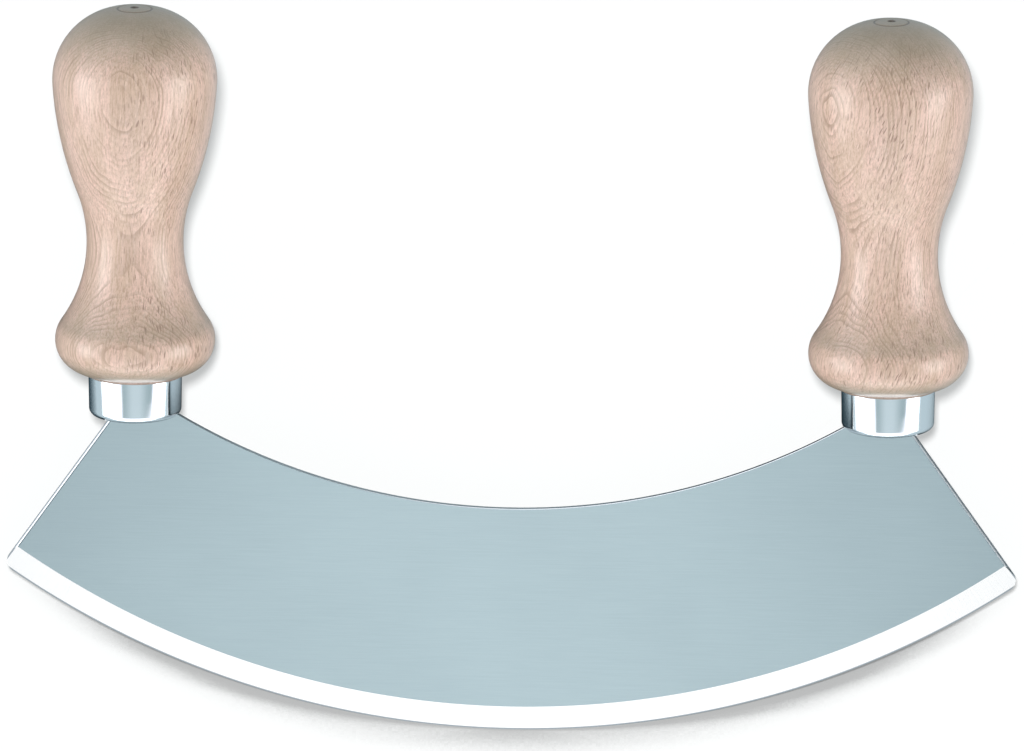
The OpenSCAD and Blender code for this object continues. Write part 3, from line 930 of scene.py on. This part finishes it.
def studio_world():
    """Soft boxes to the left, the right and in front, in a room with a grey ceiling.

    Mirrors see plain walls and the ceiling; everything else gets the soft boxes' light.
    """
    world = bpy.data.worlds.new("studio")
    bpy.context.scene.world = world
    world.use_nodes = True
    world.node_tree.nodes.clear()
    b = Bench(world.node_tree)
    split = b.put("ShaderNodeSeparateXYZ", Vector=b.put("ShaderNodeTexCoord").outputs["Generated"])
    x, y, z = split.outputs

    # the ceiling that mirrors see overhead, dimmer towards its sides; angles are from straight up
    sideways = b.maths("ARCTAN2", x, z)
    forward = b.maths("ARCTAN2", b.maths("MULTIPLY", y, -1.0), z)
    aside = b.ramp(b.maths("ABSOLUTE", b.maths("SUBTRACT", sideways, 0.17)), 0.75, 0.65)
    ahead = b.ramp(forward, 0.66, 0.56)
    behind = b.ramp(forward, -0.95, -0.75)
    ceiling = b.maths("MULTIPLY", b.maths("MULTIPLY", aside, ahead), behind)
    dip = b.ramp(b.maths("ABSOLUTE", b.maths("SUBTRACT", sideways, 0.12)), 0.10, 0.66)

    # the walls, with bright patches low at both sides and in front
    back_wall = b.maths("MULTIPLY", b.ramp(y, 0.08, 0.22), b.ramp(x, -0.10, 0.35))
    low_wall = b.ramp(z, 0.0, 0.26)
    walls = b.mix(low_wall, LOW_WALL, HIGH_WALL)
    walls = b.mix(back_wall, walls, BACK_WALL)
    beside = b.maths("ABSOLUTE", b.maths("SUBTRACT", b.maths("ABSOLUTE", sideways), 1.24))
    level = b.ramp(b.maths("ABSOLUTE", b.maths("ADD", y, 0.16)), 0.34, 0.20)
    glints = b.maths("MULTIPLY", b.ramp(beside, 0.34, 0.16, 0.0, 3.2), level)
    in_front = b.ramp(b.maths("ABSOLUTE", b.maths("SUBTRACT", forward, 1.32)), 0.34, 0.16, 0.0, 1.8)
    in_middle = b.ramp(b.maths("ABSOLUTE", x), 0.75, 0.45)
    glints = b.maths("ADD", glints, b.maths("MULTIPLY", in_front, in_middle))
    walls = b.mix(1.0, walls, b.join(glints, glints, glints), "ADD")
    mirror = b.mix(ceiling, walls, b.mix(dip, CEILING_PALE, CEILING_DIM))

    # the soft boxes, each brightest straight towards it
    left_box = b.maths("POWER", b.maths("MAXIMUM", b.maths("MULTIPLY", x, -1.0), 0.0), 4.0)
    right_box = b.maths("POWER", b.maths("MAXIMUM", x, 0.0), 4.0)
    front_way = b.maths("MULTIPLY", b.maths("SUBTRACT", z, y), math.sqrt(0.5))
    front_box = b.maths("POWER", b.maths("MAXIMUM", front_way, 0.0), 12.0)
    boxes = b.maths("MULTIPLY", front_box, FRONT_BOX)
    boxes = b.maths("MULTIPLY_ADD", right_box, RIGHT_BOX, boxes)
    boxes = b.maths("MULTIPLY_ADD", left_box, LEFT_BOX, boxes)
    soft = b.mix(1.0, BOX_COLOUR, b.join(boxes, boxes, boxes), "MULTIPLY")
    soft = b.mix(1.0, soft, ROOM_COLOUR, "ADD")

    ray = b.put("ShaderNodeLightPath")
    colour = b.mix(ray.outputs["Is Glossy Ray"], soft, mirror)
    colour = b.mix(ray.outputs["Is Camera Ray"], colour, BACKDROP)
    lamp = b.put("ShaderNodeBackground", Color=colour, Strength=1.0)
    out = b.put("ShaderNodeOutputWorld")
    b.feed(out.inputs["Surface"], lamp.outputs[0])


def soft_lamp(name, place, size, watts, lit_piece):
    """A round soft lamp that lights one piece only, from place towards the knife's middle."""
    data = bpy.data.lights.new(name, "AREA")
    data.shape = "DISK"
    data.size = size
    data.energy = watts
    lamp = bpy.data.objects.new(name, data)
    lamp.matrix_world = aimed(CAMERA_TARGET + Vector(place), Vector(place), Vector((0, 1, 0)))
    lamp.visible_camera = False
    lit = bpy.data.collections.new(name + "_lit")
    lit.objects.link(lit_piece)
    lamp.light_linking.receiver_collection = lit
    bpy.context.scene.collection.objects.link(lamp)


def table_white():
    """White with a painted shadow beside the edge, and a painted reflection that mirrors see darker close
    round the knife.
    """
    material, b, shader = new_material("table_white")
    ray = b.put("ShaderNodeLightPath")

    # what the camera sees: white, with a close soft painted shadow where the edge stands over the table
    low_way = b.join(-0.2, 0.97, 0.07)
    beside_edge = b.put("ShaderNodeAmbientOcclusion", {"samples": 16}, Distance=0.0078, Normal=low_way)
    open_here = b.ramp(beside_edge.outputs["AO"], 0.86, 0.965, 0.50, 1.0)
    to_camera = b.maths("MULTIPLY", open_here, 0.05)
    white = b.join(to_camera, to_camera, to_camera)
    albedo = b.mix(ray.outputs["Is Diffuse Ray"], white, rgb(0.02, 0.02, 0.02))
    b.feed(shader.inputs["Base Color"], albedo)
    b.feed(shader.inputs["Emission Color"], rgb(0.975, 1.0, 1.0))
    glow = b.maths("MULTIPLY", b.maths("MULTIPLY", open_here, 0.50), ray.outputs["Is Camera Ray"])
    b.feed(shader.inputs["Emission Strength"], glow)
    shader.inputs["Roughness"].default_value = 0.9
    shader.inputs["Specular IOR Level"].default_value = 0.0

    # what mirrors see: a painted reflection of the table, with painted shade close to the knife, most
    # where it stands to the right
    right_way = b.join(0.86, 0.0, 0.5)
    clear_right = b.put("ShaderNodeAmbientOcclusion", {"samples": 6}, Distance=0.055, Normal=right_way)
    clear_round = b.put("ShaderNodeAmbientOcclusion", {"samples": 6}, Distance=0.05)
    open_right = b.ramp(clear_right.outputs["AO"], 0.68, 0.95)
    seen = b.mix(open_right, rgb(0.045, 0.085, 0.11), rgb(0.51, 0.63, 0.69))
    near = b.ramp(clear_round.outputs["AO"], 0.30, 1.0, 0.15, 1.0)
    seen = b.mix(1.0, seen, b.join(near, near, near), "MULTIPLY")
    mirrored = b.put("ShaderNodeEmission", Color=seen, Strength=1.0)
    pick = b.put("ShaderNodeMixShader", Fac=ray.outputs["Is Glossy Ray"])
    b.feed(pick.inputs[1], shader.outputs[0])
    b.feed(pick.inputs[2], mirrored.outputs[0])
    out = next(n for n in b.tree.nodes if n.type == "OUTPUT_MATERIAL")
    b.feed(out.inputs["Surface"], pick.outputs[0])
    return material


# The table top, from its middle to a side, in metres
FLOOR_HALF = 16.0


def pale_floor():
    """A plain white table top."""
    bm = bmesh.new()
    bmesh.ops.create_grid(bm, x_segments=1, y_segments=1, size=FLOOR_HALF)
    floor = new_piece("table_top", bm, Matrix.Identity(4), sharp_deg=30)
    floor.data.materials.append(table_white())
    return floor


def fit(piece, node, slot, *materials):
    """Gives a piece its finish and its body, and hides the CAD node that it stands for."""
    for material in materials:
        piece.data.materials.append(material)
    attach(piece, "root")
    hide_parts(node)


set_camera()
studio_world()
table_top = pale_floor()
soft_lamp("table_key", place=(0.10, 0.72, 5.00), size=0.58, watts=2440.0, lit_piece=table_top)

grain = steel_grain_group()
blade = blade_piece("crescent_blade")
fit(blade, "blade", "blade_steel", satin_steel(grain), ground_steel(grain), rim_steel(grain))
soft_lamp("blade_glow", place=(-0.045, -0.37, 0.62), size=0.30, watts=0.56, lit_piece=blade)

beech = beech_group()
left_beech = beech_finish(
    "beech_left", beech, side=-1,
    heart=(6.5, 69.0, 0.0),
    eye=(-1.7, -18.5, 79.6),
    lean=-0.04,
    offset=(0.0, 0.0, 0.0),
    quiet=0.25,
)
right_beech = beech_finish(
    "beech_right", beech, side=1,
    heart=(50.0, 50.0, 0.0),
    eye=(-13.0, -13.4, 76.0),
    lean=-0.13,
    offset=(71.0, 33.0, 140.0),
    quiet=0.85,
)
for side, word, wood in ((-1, "left", left_beech), (1, "right", right_beech)):
    polish = polished_steel("polished_steel_" + word, grain, side)
    fit(ferrule_piece("polished_ferrule_" + word, side), "ferrule_" + word, "ferrule_metal", polish)
    fit(grip_piece("turned_grip_" + word, side), "handle_" + word, "beech", wood)

# The resin is shut in by the grips, so its solids from the CAD stay and only get their finish
resin = cured_resin()
for word in ("left", "right"):
    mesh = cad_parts["resin_" + word].data
    mesh.materials.clear()
    mesh.materials.append(resin)

# Tones straight from the render, with no film look over them
view = bpy.context.scene.view_settings
view.view_transform = "Standard"
view.look = "None"
view.exposure = 0.0
view.gamma = 1.0
